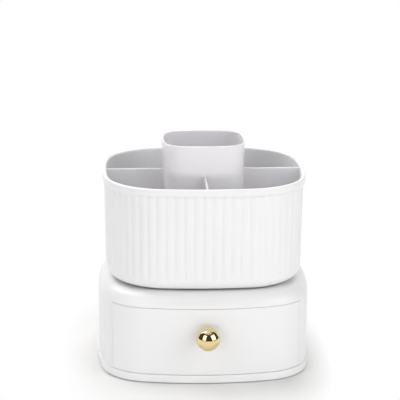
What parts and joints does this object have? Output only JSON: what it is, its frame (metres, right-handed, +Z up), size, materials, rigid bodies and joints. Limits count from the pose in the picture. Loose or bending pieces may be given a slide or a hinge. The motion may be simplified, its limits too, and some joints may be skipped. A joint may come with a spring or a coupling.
{
  "type": "rotating makeup organizer",
  "caption": "Gloss white make-up organizer: a fluted caddy with compartments and a raised brush cup turns on a ball bearing above a base with a wide curved drawer and a gold ball knob.",
  "frame": {"origin": "the caddy's turning axis at the level of the table, the underside of the base plate", "axes": "+Z up along the turning axis, -Y towards the front with the drawer and its knob, +X to the right as seen from the front"},
  "size_m": [0.166, 0.1736, 0.1734],
  "materials": {
    "white_plastic": "gloss",
    "gold": "polished",
    "steel": "satin",
    "nylon": "matte",
    "rubber": "matte"
  },
  "bodies": {
    "base": {"base_plate": "white_plastic", "foot_front_left": "rubber", "foot_front_right": "rubber", "foot_back_left": "rubber", "foot_back_right": "rubber", "base_shell": "white_plastic", "base_screws": "steel", "runner_left": "nylon", "runner_right": "nylon", "runner_screws": "steel", "lower_race": "steel", "lower_race_screws": "steel", "pivot_bush": "nylon"},
    "drawer": {"drawer_tray": "white_plastic", "drawer_front": "white_plastic", "drawer_screws": "steel", "knob": "gold", "knob_screw": "steel", "knob_washer": "steel"},
    "bearing": {"ball_cage": "nylon", "bearing_balls": "steel"},
    "caddy": {"caddy_shell": "white_plastic", "brush_cup": "white_plastic", "divider_left": "white_plastic", "divider_right": "white_plastic", "divider_front": "white_plastic", "divider_back": "white_plastic", "upper_race": "steel", "upper_race_screws": "steel", "pivot_bolt": "steel", "pivot_washer": "steel", "pivot_nut": "steel"}
  },
  "joints": [
    {"name": "caddy_spin", "type": "hinge", "parent": "base", "child": "caddy", "pos_m": [0, 0, 0.0718], "axis": [0, 0, 1], "continuous": true},
    {"name": "cage_spin", "type": "hinge", "parent": "base", "child": "bearing", "pos_m": [0, 0, 0.0675], "axis": [0, 0, 1], "continuous": true},
    {"name": "drawer_slide", "type": "slide", "parent": "base", "child": "drawer", "axis": [0, -1, 0], "range_m": [0, 0.095]}
  ],
  "couplings": [
    {"joint": "cage_spin", "follows": "caddy_spin", "ratio": 0.5}
  ]
}
